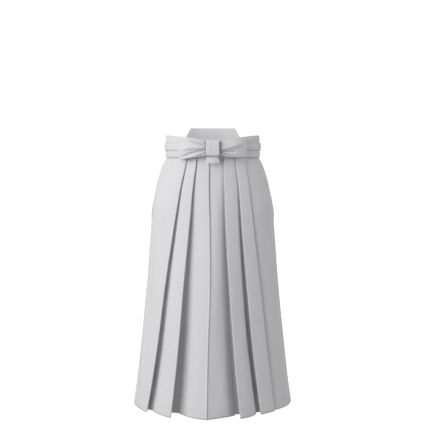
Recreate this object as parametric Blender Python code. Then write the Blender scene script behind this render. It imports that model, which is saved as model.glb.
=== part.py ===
"""Hakama in its worn, hollow form: pleated front and back panels, inner legs, tied bands and back board.

The frame has +Z up, the front towards -Y and the origin at the middle of the waist.
Drops are measured down from the lower edge of the tied bands.
"""

from collections import namedtuple
from math import cos, hypot, pi, sin, sqrt

import bmesh
import bpy
import numpy as np

# Cloth sizes in metres.
WALL = 0.0015
BAND_WALL = 0.0024
BOARD_WALL = 0.0034
SEAM = 0.0005
LAYER = 0.0022
BAND_FOOT = -0.044
HEM_DROP = 0.950

# The turned edge of a fold is this much wider at the hem than at the waist.
EDGE_OPENING = 0.0016
TURN_STEPS = 4
EMERGING_RUN = 0.003

# The left front starts this share of the centre tuck back from the centre edge.
LEFT_START = 0.78

# Each row is one ring of the cloth: outer half-width, outer depths, and how far the pleats stand open.
Section = namedtuple("Section", "drop half_width front back open")
SECTIONS = (
    Section(-0.0615, 0.1745, 0.1250, 0.1200, 0.000),
    Section(-0.040, 0.1750, 0.1255, 0.1210, 0.000),
    Section(-0.001, 0.1770, 0.1270, 0.1230, 0.000),
    Section(0.010, 0.1850, 0.1300, 0.1270, 0.006),
    Section(0.024, 0.1912, 0.1330, 0.1320, 0.014),
    Section(0.047, 0.2000, 0.1370, 0.1390, 0.030),
    Section(0.085, 0.2117, 0.1420, 0.1480, 0.062),
    Section(0.124, 0.2203, 0.1465, 0.1550, 0.096),
    Section(0.170, 0.2300, 0.1515, 0.1620, 0.138),
    Section(0.220, 0.2340, 0.1570, 0.1680, 0.186),
    Section(0.300, 0.2410, 0.1660, 0.1760, 0.265),
    Section(0.400, 0.2492, 0.1770, 0.1850, 0.370),
    Section(0.500, 0.2576, 0.1875, 0.1930, 0.478),
    Section(0.600, 0.2670, 0.1975, 0.2000, 0.590),
    Section(0.700, 0.2779, 0.2070, 0.2060, 0.704),
    Section(0.800, 0.2888, 0.2160, 0.2110, 0.820),
    Section(0.880, 0.2988, 0.2235, 0.2145, 0.916),
    Section(HEM_DROP, 0.3080, 0.2300, 0.2170, 1.000),
)
CROTCH_SECTION = 12
CROTCH_DROP = SECTIONS[CROTCH_SECTION].drop
SLIT_FOOT = 0.220

# Each row is one front pleat. A fold faces +1 when its turned edge looks towards +X.
# Lift is how far the edge stands out at the hem, step how deep the cloth under it lies,
# tuck how far it runs back under the pleat, and fall how steeply it drops away there.
Fold = namedtuple("Fold", "faces lift step_top step_hem tuck_top tuck_hem fall_top fall_hem line")
FOLD_DROPS = (-0.08, 0.0, 0.11, 0.22, 0.46, 0.70, 0.95)
RIGHT_OUTER_LINE = (-0.0950, -0.0965, -0.1195, -0.1380, -0.1750, -0.2070, -0.2480)
RIGHT_OUTER = Fold(1, 0.010, 0.0044, 0.022, 0.009, 0.050, 0.05, 0.0, RIGHT_OUTER_LINE)
RIGHT_INNER_LINE = (-0.0580, -0.0595, -0.0734, -0.0832, -0.1063, -0.1268, -0.1535)
RIGHT_INNER = Fold(1, 0.017, 0.0044, 0.046, 0.016, 0.068, 0.16, 0.04, RIGHT_INNER_LINE)
CENTRE_LINE = (-0.0125, -0.0125, -0.0138, -0.0112, -0.0092, -0.0165, -0.0205)
CENTRE = Fold(1, 0.009, 0.0046, 0.0065, 0.014, 0.040, 0.14, 0.45, CENTRE_LINE)
LEFT_INNER_LINE = (0.0395, 0.0405, 0.0445, 0.0478, 0.0615, 0.0780, 0.1020)
LEFT_INNER = Fold(-1, 0.004, 0.0044, 0.038, 0.016, 0.058, 0.14, 0.12, LEFT_INNER_LINE)
LEFT_OUTER_LINE = (0.0830, 0.0850, 0.0985, 0.1065, 0.1265, 0.1490, 0.1795)
LEFT_OUTER = Fold(-1, -0.012, 0.0044, 0.018, 0.014, 0.036, 0.06, 0.06, LEFT_OUTER_LINE)
LEFT_SIDE_LINE = (0.1190, 0.1200, 0.1355, 0.1480, 0.1757, 0.2025, 0.2330)
LEFT_SIDE = Fold(1, -0.012, 0.0044, 0.007, 0.008, 0.016, 0.05, 0.05, LEFT_SIDE_LINE)

# The shallow crease beside the outer pleat on the right.
SIDE_CREASE_LINE = (-0.1105, -0.1125, -0.1515, -0.1680, -0.2025, -0.2320, -0.2640)
SIDE_CREASE_STEP = 0.0016
SIDE_CREASE_RUN = 0.0035

# The back has one deep pleat on each side of its middle seam.
BACK_LINE = (0.028, 0.030, 0.040, 0.048, 0.058, 0.066, 0.075)
BACK = Fold(1, 0.0, 0.0044, 0.030, 0.018, 0.060, 0.06, 0.04, BACK_LINE)

# The side opening: the front edge leans a little forward and the back edge runs to the back board.
FRONT_EDGE_ANGLE = 0.12
BACK_EDGE_ANGLE = 0.62
SLIT_FLARE = 0.0045

# Inner legs and crotch gusset.
INNER_BOW_TOP = 0.030
INNER_BOW_HEM = 0.016
INNER_SPLIT = 0.010
INNER_STEPS = 8
GUSSET_RISE = 0.0035
GUSSET_WALL = 0.002
GUSSET_TRIM = 0.0012

# Tied bands round the waist.
BAND_STEPS = 52
BAND_BULGE = 0.0022
Band = namedtuple("Band", "foot top offset back_offset")
WAISTBAND = Band(0.0065, 0.0205, 0.0021, -0.0100)
LOWER_WRAP = Band(-0.0430, -0.0145, 0.0034, -0.0100)
TIE_WRAP = Band(-0.0165, 0.0140, 0.0070, 0.0070)
WAISTBAND_SIDE_RISE = 0.0205
WAISTBAND_STEP = 0.58
STEP_START = 0.435
STEP_SPAN = 0.045
TIE_END_ANGLE = 0.68

# Bow.
BOW_BACK = 0.1366
KNOT_HALF_WIDTH = 0.0250
KNOT_FRONT = 0.1665
KNOT_FOOT = -0.0385
KNOT_TOP = 0.0205
LOOP_REACH = 0.1250
LOOP_DEPTH = 0.0150
TAIL_FOOT = -0.0636
TAIL_HALF_WIDTH = 0.0240

# Back board.
BOARD_FOOT = -0.0180
BOARD_TOP = 0.0740
BOARD_FOOT_ANGLE = 0.88
BOARD_TOP_HALF_WIDTH = 0.085

CLOTH = (0.72, 0.73, 0.75, 1.0)


def clear_scene():
    """Remove the objects the scene starts with."""
    for item in list(bpy.data.objects):
        bpy.data.objects.remove(item, do_unlink=True)


def blend(start, end, share):
    """Mix two numbers or points."""
    return start + (end - start) * share


def smooth(share):
    """Ease a share from 0 to 1."""
    share = min(max(share, 0.0), 1.0)
    return share * share * (3.0 - 2.0 * share)


def along(values, drop):
    """Read a fold line at a drop, with a soft curve through its values."""
    slopes = np.gradient(np.array(values), np.array(FOLD_DROPS))
    index = int(np.clip(np.searchsorted(FOLD_DROPS, drop) - 1, 0, len(FOLD_DROPS) - 2))
    span = FOLD_DROPS[index + 1] - FOLD_DROPS[index]
    t = (drop - FOLD_DROPS[index]) / span
    start = values[index] * (1.0 + 2.0 * t) * (1.0 - t) ** 2
    end = values[index + 1] * t * t * (3.0 - 2.0 * t)
    lean = slopes[index] * t * (1.0 - t) ** 2 - slopes[index + 1] * t * t * (1.0 - t)
    return start + end + span * lean


def height_of(drop):
    """Turn a drop into a height in the frame."""
    return BAND_FOOT - drop


class Outline:
    """Half of one ring of cloth: an elliptic arc seen from above, front or back."""

    def __init__(self, half_width, depth, side=-1.0):
        self.half_width = half_width - WALL / 2
        self.depth = depth - WALL / 2
        self.side = side

    def point(self, angle, offset=0.0):
        """Give the point at an angle from the middle, moved outwards."""
        outwards = self.outwards(angle)
        base = np.array((self.half_width * sin(angle), self.side * self.depth * cos(angle)))
        return base + outwards * offset

    def outwards(self, angle):
        """Give the outward direction at an angle from the middle."""
        normal = np.array((self.depth * sin(angle), self.side * self.half_width * cos(angle)))
        return normal / np.linalg.norm(normal)

    def angle_of(self, point):
        """Give the angle whose ray passes through a point."""
        return np.arctan2(point[0] / self.half_width, self.side * point[1] / self.depth)

    def angle_at(self, across):
        """Give the angle at which the arc has this X."""
        return np.arcsin(np.clip(across / self.half_width, -1.0, 1.0))

    def follow(self, start, end, count):
        """List points between two places, keeping to the arc's own roundness."""
        first, last = self.angle_of(start), self.angle_of(end)
        from_start, from_end = start - self.point(first), end - self.point(last)
        shares = [step / (count + 1) for step in range(1, count + 1)]
        return [
            self.point(blend(first, last, share)) + blend(from_start, from_end, share)
            for share in shares
        ]


class ClothLine:
    """The middle line of a folded cloth in one ring: it runs past places and round turns."""

    def __init__(self, outline):
        self.outline = outline
        self.marks = []
        self.surface = None

    def add(self, point):
        """Add one place."""
        self.marks.append((np.array(point), 0.0))
        self.surface = np.array(point)

    def turn(self, centre, radius, surface):
        """Add a turn round a middle: a radius above 0 turns right, below 0 left."""
        self.marks.append((centre, radius))
        self.surface = surface

    def follow_arc(self, point, count):
        """Run along the arc towards a place without adding the place itself."""
        for between in self.outline.follow(self.surface, np.array(point), count):
            self.marks.append((between, 0.0))

    def reach(self, point, count):
        """Run along the arc to a place."""
        self.follow_arc(point, count)
        self.add(point)

    def points(self):
        """List the points of the line."""
        links = [tangent(first, last) for first, last in zip(self.marks, self.marks[1:])]
        line = [self.marks[0][0]]
        for index, (place, radius) in enumerate(self.marks[1:-1]):
            if radius:
                line.extend(turn_points(place, radius, links[index][1], links[index + 1][0]))
            else:
                line.append(place)
        line.append(self.marks[-1][0])
        return line


def tangent(first, last):
    """Give both ends of the straight line that leaves one turn and meets the next."""
    (start, start_radius), (end, end_radius) = first, last
    span = end - start
    length = hypot(*span)
    ahead = span / length
    left = np.array((-ahead[1], ahead[0]))
    lean = (start_radius - end_radius) / length
    normal = ahead * lean + left * sqrt(1.0 - lean * lean)
    return start + normal * start_radius, end + normal * end_radius


def turn_points(centre, radius, first, last):
    """List points round a turn from where the cloth meets it to where it leaves."""
    arm, leaving = first - centre, last - centre
    angle = np.arctan2(arm[0] * leaving[1] - arm[1] * leaving[0], float(arm @ leaving))
    if radius > 0.0 and angle > 0.0:
        angle -= 2.0 * pi
    if radius < 0.0 and angle < 0.0:
        angle += 2.0 * pi
    return [centre + rotated(arm, angle * step / TURN_STEPS) for step in range(TURN_STEPS + 1)]


def rotated(arm, angle):
    """Turn a plan vector."""
    return np.array((arm[0] * cos(angle) - arm[1] * sin(angle), arm[0] * sin(angle) + arm[1] * cos(angle)))


class Pleat:
    """One turned pleat in one ring: its edge, the tuck behind it and the cloth beneath."""

    def __init__(self, fold, section, outline):
        angle = outline.angle_at(along(fold.line, section.drop))
        self.faces = fold.faces
        self.outwards = outline.outwards(angle)
        self.along = rotated(self.outwards, pi / 2)
        lift = np.array((0.0, outline.side * fold.lift * section.open))
        self.edge = outline.point(angle) + lift
        self.radius = (LAYER + EDGE_OPENING * section.open) / 2
        self.step = blend(fold.step_top, fold.step_hem, section.open)
        self.tuck = blend(fold.tuck_top, fold.tuck_hem, section.open)
        self.far = self.step + self.tuck * blend(fold.fall_top, fold.fall_hem, section.open)

    def place(self, run, depth):
        """Give a place beside the edge: run back under the pleat, depth inwards."""
        return self.edge - self.along * self.faces * run - self.outwards * depth

    def crest(self):
        """Give the place where the cloth starts to turn at the edge."""
        return self.place(self.radius, 0.0)

    def turn_edge(self, line):
        """Add the turned edge."""
        line.turn(self.place(self.radius, self.radius), -self.radius, self.crest())

    def turn_tuck(self, line):
        """Add the turn at the end of the tuck."""
        centre = self.place(self.tuck, self.far - self.radius)
        line.turn(centre, self.radius, self.place(self.tuck, self.far))

    def emerging(self):
        """Give the place where the cloth beneath comes out past the edge."""
        return self.place(-EMERGING_RUN, self.step)


def add_open_pleat(line, pleat, count):
    """Run to an edge that looks along the line, turn under it and come out beneath."""
    line.follow_arc(pleat.crest(), count)
    pleat.turn_edge(line)
    pleat.turn_tuck(line)
    line.add(pleat.emerging())


def add_facing_pleat(line, pleat, count):
    """Run beneath an edge that looks back along the line, turn and come out over it."""
    line.reach(pleat.emerging(), count)
    pleat.turn_tuck(line)
    pleat.turn_edge(line)


def front_edge_angle(section):
    """Give the angle of the front panel's side edge, which leans forward above the side opening's foot."""
    lean = FRONT_EDGE_ANGLE * (1.0 - smooth(section.drop / SLIT_FOOT))
    return pi / 2 - lean - seam_angle(section)


def back_edge_angle(section):
    """Give the angle of the back panel's side edge, which runs from the seam to the back board."""
    lean = BACK_EDGE_ANGLE * (1.0 - min(max(section.drop / SLIT_FOOT, 0.0), 1.0)) ** 0.9
    return pi / 2 - lean - seam_angle(section)


def seam_angle(section):
    """Give the angle that half a seam gap takes at the side."""
    return 0.5 * SEAM / section.front


def front_right_line(section):
    """Trace the right front: side, outer pleat, inner pleat and the turned centre edge."""
    outline = Outline(section.half_width, section.front)
    line = ClothLine(outline)
    crease = along(SIDE_CREASE_LINE, section.drop)
    crease_angle = outline.angle_at(crease)
    run = SIDE_CREASE_RUN / section.half_width
    lift = np.array((0.0, -RIGHT_OUTER.lift * section.open))
    line.add(outline.point(-front_edge_angle(section)))
    line.reach(outline.point(crease_angle - run, -SIDE_CREASE_STEP) + lift * 0.7, 7)
    line.add(outline.point(crease_angle, -SIDE_CREASE_STEP * 0.3) + lift * 0.8)
    outer, inner = Pleat(RIGHT_OUTER, section, outline), Pleat(RIGHT_INNER, section, outline)
    centre = Pleat(CENTRE, section, outline)
    add_open_pleat(line, outer, 1)
    add_open_pleat(line, inner, 3)
    line.follow_arc(centre.crest(), 4)
    centre.turn_edge(line)
    line.add(hidden_edge(centre))
    return line.points()


def hidden_edge(centre):
    """Give the place where the right front ends, turned under the centre edge."""
    return centre.place(centre.tuck, centre.far - 2.0 * centre.radius)


def hidden_start(centre):
    """Give the place where the left front starts, beneath the right front."""
    return centre.place(centre.tuck * LEFT_START, centre.far)


def front_left_line(section):
    """Trace the left front: from under the centre edge over its pleats to the side."""
    outline = Outline(section.half_width, section.front)
    line = ClothLine(outline)
    centre = Pleat(CENTRE, section, outline)
    line.add(hidden_start(centre))
    line.add(centre.emerging())
    add_facing_pleat(line, Pleat(LEFT_INNER, section, outline), 4)
    add_facing_pleat(line, Pleat(LEFT_OUTER, section, outline), 3)
    add_open_pleat(line, Pleat(LEFT_SIDE, section, outline), 2)
    line.reach(outline.point(front_edge_angle(section)), 7)
    return line.points()


def back_left_line(section):
    """Trace the left back from its side edge to the middle seam."""
    outline = Outline(section.half_width, section.back, side=1.0)
    line = ClothLine(outline)
    flare = SLIT_FLARE * smooth(1.0 - abs(section.drop - 0.185) / 0.075)
    pleat = Pleat(BACK, section, outline)
    line.add(outline.point(back_edge_angle(section), flare))
    add_open_pleat(line, pleat, 7)
    line.reach(outline.point(0.0, -pleat.step) + (SEAM / 2, 0.0), 1)
    return line.points()


def mirrored(line):
    """Turn a line of the left side into its right-hand pair."""
    return [point * (-1.0, 1.0) for point in line]


def back_right_line(section):
    """Trace the right back, the pair of the left."""
    return mirrored(back_left_line(section))


def inner_leg_line(section, hand):
    """Trace one inner leg from the front's hidden edge to the back's middle seam; hand is +1 on the left."""
    front = Outline(section.half_width, section.front)
    back = Outline(section.half_width, section.back, side=1.0)
    centre = Pleat(CENTRE, section, front)
    butt = WALL / 2 + SEAM
    start = (hidden_edge(centre) if hand < 0 else hidden_start(centre)) + (WALL, butt)
    depth = Pleat(BACK, section, back).step + butt
    end = back.point(0.0, -depth) + (hand * INNER_SPLIT / 2, 0.0)
    bow = blend(INNER_BOW_TOP, INNER_BOW_HEM, smooth((section.drop - CROTCH_DROP) / (HEM_DROP - CROTCH_DROP)))
    points = []
    for step in range(INNER_STEPS + 1):
        share = step / INNER_STEPS
        points.append(blend(start, end, share) + (hand * bow * sin(pi * share), 0.0))
    return points


def inner_right_line(section):
    """Trace the right inner leg."""
    return inner_leg_line(section, -1)


def inner_left_line(section):
    """Trace the left inner leg."""
    return inner_leg_line(section, 1)


def sheet_normals(line, closed):
    """Give each point's sideways direction, lengthened at corners so that the wall keeps its width."""
    points = np.array(line)
    after = np.roll(points, -1, axis=0) - points
    after /= np.linalg.norm(after, axis=1)[:, None]
    before = np.roll(after, 1, axis=0)
    if not closed:
        after[-1] = before[-1]
        before[0] = after[0]
    total = before + after
    total /= np.linalg.norm(total, axis=1)[:, None]
    stretch = 1.0 / np.maximum((total * after).sum(axis=1), 0.5)
    return np.stack((total[:, 1], -total[:, 0]), axis=1) * stretch[:, None]


def wall_loops(line, height, wall, closed):
    """Give both faces of a cloth wall at one height as 3-D points."""
    normals = sheet_normals(line, closed)
    heights = np.full((len(line), 1), height) if np.isscalar(height) else np.array(height)[:, None]
    outer = np.hstack((np.array(line) + normals * wall / 2, heights))
    inner = np.hstack((np.array(line) - normals * wall / 2, heights))
    return outer, inner


def loft(name, rows, closed=False):
    """Build a cloth wall through rows of (outer, inner) points."""
    mesh = bmesh.new()
    outer = [[mesh.verts.new(point) for point in row[0]] for row in rows]
    inner = [[mesh.verts.new(point) for point in row[1]] for row in rows]
    count = len(outer[0])
    spans = [(i, (i + 1) % count) for i in range(count if closed else count - 1)]
    for low in range(len(rows) - 1):
        for i, j in spans:
            mesh.faces.new((outer[low][i], outer[low][j], outer[low + 1][j], outer[low + 1][i]))
            mesh.faces.new((inner[low][j], inner[low][i], inner[low + 1][i], inner[low + 1][j]))
        if not closed:
            for i in (0, count - 1):
                mesh.faces.new((outer[low][i], outer[low + 1][i], inner[low + 1][i], inner[low][i]))
    for end in (0, len(rows) - 1):
        for i, j in spans:
            mesh.faces.new((outer[end][i], outer[end][j], inner[end][j], inner[end][i]))
    bmesh.ops.recalc_face_normals(mesh, faces=mesh.faces)
    bmesh.ops.triangulate(mesh, faces=mesh.faces, quad_method="SHORT_EDGE")
    return finished(name, mesh)


def finished(name, mesh):
    """Turn a working mesh into a named object with its material."""
    data = bpy.data.meshes.new(name)
    mesh.to_mesh(data)
    mesh.free()
    item = bpy.data.objects.new(name, data)
    item.data.materials.append(cloth_material(name))
    return item


def cloth_material(name):
    """Make the pale woven cloth for one piece."""
    material = bpy.data.materials.new(name + "_cloth")
    material.use_nodes = True
    surface = material.node_tree.nodes["Principled BSDF"]
    surface.inputs["Base Color"].default_value = CLOTH
    surface.inputs["Roughness"].default_value = 0.85
    return material


def build_panel(name, trace, sections):
    """Loft a panel through its rings."""
    rows = [wall_loops(trace(section), height_of(section.drop), WALL, False) for section in sections]
    return loft(name, rows)


def build_panels():
    """Build the two front panels, the two back panels and the two inner legs."""
    backs = SECTIONS[1:]
    legs = SECTIONS[CROTCH_SECTION:]
    return [
        build_panel("front_right_panel", front_right_line, SECTIONS),
        build_panel("front_left_panel", front_left_line, SECTIONS),
        build_panel("back_right_panel", back_right_line, backs),
        build_panel("back_left_panel", back_left_line, backs),
        build_panel("inner_leg_right", inner_right_line, legs),
        build_panel("inner_leg_left", inner_left_line, legs),
    ]


def build_gusset():
    """Build the crotch gusset, a leaf of cloth over the tops of both inner legs."""
    section = SECTIONS[CROTCH_SECTION]
    right, left = inner_leg_line(section, -1), inner_leg_line(section, 1)
    height = height_of(section.drop) + WALL + SEAM
    reach = WALL / 2
    rows = []
    for index, (a, b) in enumerate(zip(right, left)):
        share = index / (len(right) - 1)
        trim = GUSSET_TRIM * (1.0 - 2.0 * share)
        first, last = a + (-reach, trim), b + (reach, trim)
        rise = GUSSET_RISE * sin(pi * share)
        row = []
        for step in range(5):
            across = step / 4
            place = blend(first, last, across)
            row.append((place[0], place[1], height + rise * sin(pi * across)))
        rows.append(row)
    top = [np.array(row) + np.array((0.0, 0.0, GUSSET_WALL)) for row in rows]
    return loft("crotch_gusset", list(zip(top, [np.array(row) for row in rows])))


def band_offset(band, angle):
    """Give how far out a band lies at an angle from the front; it passes inside the back panels."""
    inside = smooth((abs(angle) - 1.52) / 0.60)
    return blend(band.offset, band.back_offset, inside)


def band_line(band, angles, fullness):
    """Trace a band's middle line at the given angles."""
    section = SECTIONS[1]
    front = Outline(section.half_width + WALL / 2, section.front + WALL / 2)
    back = Outline(section.half_width + WALL / 2, section.back + WALL / 2, side=1.0)
    line = []
    for angle in angles:
        arc, turn = (front, angle) if cos(angle) >= 0.0 else (back, pi - angle)
        offset = band_offset(band, angle)
        line.append(arc.point(turn, offset + (BAND_BULGE * fullness if offset > 0.0 else 0.0)))
    return line


def side_rise(aside):
    """Give the share of the waistband's rise beside the bow, first in a short step and then softly."""
    step = smooth((aside - STEP_START) / STEP_SPAN)
    rest = smooth((aside - STEP_START) / (1.0 - STEP_START))
    return WAISTBAND_STEP * step + (1.0 - WAISTBAND_STEP) * rest


def build_band(name, band, angles, closed, levels, rise=0.0):
    """Build one tied band with a softly rounded height."""
    rows = []
    for level in range(levels):
        share = level / (levels - 1)
        line = band_line(band, angles, sin(pi * share))
        lift = [rise * share * side_rise(abs(sin(angle))) for angle in angles]
        heights = [blend(band.foot, band.top, share) + lift[i] for i in range(len(angles))]
        rows.append(wall_loops(line, heights, BAND_WALL, closed))
    return loft(name, rows, closed)


def build_bands():
    """Build the waistband, the lower wrap and the outer tie wrap."""
    round_angles = [-pi + 2 * pi * step / BAND_STEPS for step in range(BAND_STEPS)]
    tie_end = pi - TIE_END_ANGLE - 0.30
    tie_angles = [blend(-tie_end, tie_end, step / 34) for step in range(35)]
    return [
        build_band("front_waistband", WAISTBAND, round_angles, True, 3, WAISTBAND_SIDE_RISE),
        build_band("lower_tie_wrap", LOWER_WRAP, round_angles, True, 4),
        build_band("outer_tie_wrap", TIE_WRAP, tie_angles, False, 4),
    ]


def build_board():
    """Build the stiff back board, sewn over the top of both back panels."""
    section = SECTIONS[1]
    arc = Outline(section.half_width, section.back, side=1.0)
    foot_reach = arc.half_width * sin(BOARD_FOOT_ANGLE)
    rows = []
    for level in range(5):
        share = level / 4
        reach = blend(foot_reach, BOARD_TOP_HALF_WIDTH, share)
        angles = [np.arcsin(blend(-reach, reach, step / 14) / arc.half_width) for step in range(15)]
        offset = WALL / 2 + SEAM + BOARD_WALL / 2 + 0.0012 + 0.004 * share
        line = [arc.point(angle, offset) for angle in angles]
        rows.append(wall_loops(line, blend(BOARD_FOOT, BOARD_TOP, share), BOARD_WALL, False))
    return loft("back_board", rows)


def build_knot():
    """Build the knot: the tie drawn over the bands in a rounded fold with a soft middle crease."""
    rings = []
    steps = 24
    for level in range(9):
        share = level / 8
        fullness = 0.80 + 0.20 * sin(pi * share) ** 0.6
        ring = []
        for step in range(steps):
            angle = 2 * pi * step / steps
            across = np.sign(cos(angle)) * abs(cos(angle)) ** 0.55
            outwards = np.sign(sin(angle)) * abs(sin(angle)) ** 0.55
            x = KNOT_HALF_WIDTH * across * blend(0.90, 1.0, fullness)
            half_depth = (KNOT_FRONT - BOW_BACK) / 2
            middle = -(KNOT_FRONT + BOW_BACK) / 2
            reach = half_depth * fullness if outwards > 0 else half_depth
            dent = 0.0016 * (1.0 - smooth(abs(x) / 0.007)) if outwards > 0 else 0.0
            ring.append((x, middle - outwards * reach + dent, blend(KNOT_FOOT, KNOT_TOP, share)))
        rings.append(ring)
    mesh = bmesh.new()
    verts = [[mesh.verts.new(point) for point in ring] for ring in rings]
    for low in range(len(verts) - 1):
        for i in range(steps):
            j = (i + 1) % steps
            mesh.faces.new((verts[low][i], verts[low][j], verts[low + 1][j], verts[low + 1][i]))
    mesh.faces.new(verts[0])
    mesh.faces.new(verts[-1])
    bmesh.ops.recalc_face_normals(mesh, faces=mesh.faces)
    bmesh.ops.triangulate(mesh, faces=mesh.faces)
    return finished("knot", mesh)


def loop_line(hand):
    """Trace one bow loop from above: out along the bands, round its end and back to the knot."""
    section = SECTIONS[1]
    back_offset = BOW_BACK - section.front + BAND_WALL / 2 + 0.0006
    arc = Outline(section.half_width, section.front)
    start = KNOT_HALF_WIDTH + 0.0012
    inner, outer = [], []
    for step in range(7):
        share = step / 6
        x = blend(start, LOOP_REACH - 0.007, share)
        angle = arc.angle_at(x * 0.93)
        spread = LOOP_DEPTH * (0.62 + 0.38 * sin(pi * share * 0.85))
        inner.append((share, arc.point(angle, back_offset)))
        outer.append((share, arc.point(angle, back_offset + spread)))
    last_in, last_out = inner[-1][1], outer[-1][1]
    middle, arm = (last_in + last_out) / 2, (last_in - last_out) / 2
    turn = [(1.0, middle + rotated(arm, -pi * step / 6)) for step in range(1, 6)]
    line = inner + [(share, place) for share, place in turn] + outer[::-1]
    line = [(share, place) if hand > 0 else (share, place * (-1.0, 1.0)) for share, place in line]
    return [share for share, _ in line], [place for _, place in line]


def build_loop(name, hand):
    """Build one bow loop, drawn in at the knot with creases that run out from it."""
    shares, line = loop_line(hand)
    rows = []
    levels = 9
    for level in range(levels):
        share = level / (levels - 1)
        foot = [blend(-0.0405, -0.0400, smooth(reach * 1.6)) for reach in shares]
        top = [blend(0.0200, 0.0275, smooth(reach * 1.4)) for reach in shares]
        heights = [blend(foot[i], top[i], share) for i in range(len(line))]
        bulge = 0.0022 * sin(pi * share)
        waves = [0.0014 * (1.0 - reach) * sin(5.0 * pi * share) for reach in shares]
        half = len(line) // 2
        moved = []
        for i, place in enumerate(line):
            out = (bulge + waves[i]) * (1.0 if i > half else 0.0)
            moved.append(place + np.array((0.0, -out)))
        rows.append(wall_loops(moved, heights, BAND_WALL, False))
    return loft(name, rows)


def build_tail():
    """Build the tie end that hangs below the knot."""
    rows = []
    for level in range(4):
        share = level / 3
        half = blend(TAIL_HALF_WIDTH * 0.86, TAIL_HALF_WIDTH, share)
        xs = [blend(-half, half, step / 6) + 0.0022 * share for step in range(7)]
        line = [(x, -0.1510 - 0.0030 * share + 9.0 * x * x * 0.8) for x in xs]
        height = blend(KNOT_FOOT - 0.0006, TAIL_FOOT, share)
        rows.append(wall_loops(line, height, BAND_WALL, False))
    return loft("tie_tail", rows)


def main():
    """Build every piece into one collection."""
    clear_scene()
    collection = bpy.data.collections.new("hakama")
    bpy.context.scene.collection.children.link(collection)
    pieces = build_panels() + [build_gusset()] + build_bands() + [build_board(), build_knot()]
    pieces += [build_loop("bow_loop_right", -1), build_loop("bow_loop_left", 1), build_tail()]
    for piece in pieces:
        collection.objects.link(piece)


main()
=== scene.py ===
"""Hakama in pale plain-woven cloth, in its worn, hollow form, on a pale studio floor.

Each class below cuts and dresses one sub-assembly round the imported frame. Drops are measured down from the
lower edge of the tied bands, and angles go round the waist from the middle of the front.
"""

import logging
from dataclasses import dataclass, field
from enum import Enum
from math import atan2, cos, degrees, exp, hypot, pi, radians, sin, sqrt
from typing import Any, Callable, Sequence

import bmesh
import bpy
import numpy as np
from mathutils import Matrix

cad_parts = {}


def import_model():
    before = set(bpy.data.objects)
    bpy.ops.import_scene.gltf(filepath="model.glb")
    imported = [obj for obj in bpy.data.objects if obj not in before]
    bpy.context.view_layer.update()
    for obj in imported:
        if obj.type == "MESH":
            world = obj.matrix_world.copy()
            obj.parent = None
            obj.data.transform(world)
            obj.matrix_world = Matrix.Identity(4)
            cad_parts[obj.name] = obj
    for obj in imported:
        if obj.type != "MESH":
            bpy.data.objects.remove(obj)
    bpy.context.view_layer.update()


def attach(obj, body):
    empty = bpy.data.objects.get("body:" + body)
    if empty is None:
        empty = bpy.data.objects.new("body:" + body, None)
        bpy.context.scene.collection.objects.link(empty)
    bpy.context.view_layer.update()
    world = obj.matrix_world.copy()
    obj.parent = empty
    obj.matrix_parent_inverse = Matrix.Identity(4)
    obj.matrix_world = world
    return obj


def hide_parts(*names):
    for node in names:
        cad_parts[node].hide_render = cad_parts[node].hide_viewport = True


Point = np.ndarray
Place = tuple[float, float, float]
LOG = logging.getLogger("hakama")

WALL = 0.0013
SEAM = 0.0005
LAYER = 0.0022
CAD_WALL = 0.0015
BAND_FOOT = -0.044
HEM_DROP = 0.950
SLIT_FOOT = 0.220
CROTCH_DROP = 0.500
HEM_LINE_DROP = 0.915
HEM_FOLD_DROP = 0.903
HEM_DOUBLE = 0.0006


class Hand(Enum):
    """The wearer's right or left; the value is the sign of X there."""

    RIGHT = -1
    LEFT = 1


class Side(Enum):
    """The front or back half of the garment; the value is the sign of Y there."""

    FRONT = -1
    BACK = 1


@dataclass(frozen=True)
class Section:
    """One ring of the cloth: outer half-width, outer depths, and how far the pleats stand open."""

    drop: float
    half_width: float
    front: float
    back: float
    open: float


@dataclass(frozen=True)
class Fold:
    """One pleat: the way its edge looks, its sizes at the waist and the hem, and the groove beside it."""

    faces: int
    lift: float
    step_top: float
    step_hem: float
    tuck_top: float
    tuck_hem: float
    fall_top: float
    fall_hem: float
    line: tuple[float, ...]
    groove: tuple[float, ...]
    groove_reach: float
    opening: float = 0.0016


@dataclass(frozen=True)
class Crease:
    """A soft trough or ridge in the cloth between two places, in degrees round the waist and drops."""

    start_angle: float
    start_drop: float
    end_angle: float
    end_drop: float
    width: float
    depth: float


@dataclass(frozen=True)
class LoopCrease:
    """A crease on a bow loop, from near the knot outwards, in shares of the loop's reach and height."""

    start_reach: float
    start_share: float
    end_reach: float
    end_share: float
    above: float
    below: float
    depth: float


SECTIONS = (
    Section(-0.0615, 0.1745, 0.1250, 0.1200, 0.000),
    Section(-0.040, 0.1750, 0.1255, 0.1210, 0.000),
    Section(-0.001, 0.1770, 0.1270, 0.1230, 0.000),
    Section(0.010, 0.1850, 0.1300, 0.1270, 0.006),
    Section(0.024, 0.1912, 0.1330, 0.1320, 0.014),
    Section(0.047, 0.2000, 0.1370, 0.1390, 0.030),
    Section(0.085, 0.2117, 0.1420, 0.1480, 0.062),
    Section(0.124, 0.2203, 0.1465, 0.1550, 0.096),
    Section(0.170, 0.2300, 0.1515, 0.1620, 0.138),
    Section(0.220, 0.2340, 0.1570, 0.1680, 0.186),
    Section(0.300, 0.2410, 0.1660, 0.1760, 0.265),
    Section(0.400, 0.2492, 0.1770, 0.1850, 0.370),
    Section(0.500, 0.2576, 0.1875, 0.1930, 0.478),
    Section(0.600, 0.2670, 0.1975, 0.2000, 0.590),
    Section(0.700, 0.2779, 0.2070, 0.2060, 0.704),
    Section(0.800, 0.2888, 0.2160, 0.2110, 0.820),
    Section(0.880, 0.2988, 0.2235, 0.2145, 0.916),
    Section(HEM_DROP, 0.3080, 0.2300, 0.2170, 1.000),
)

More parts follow.
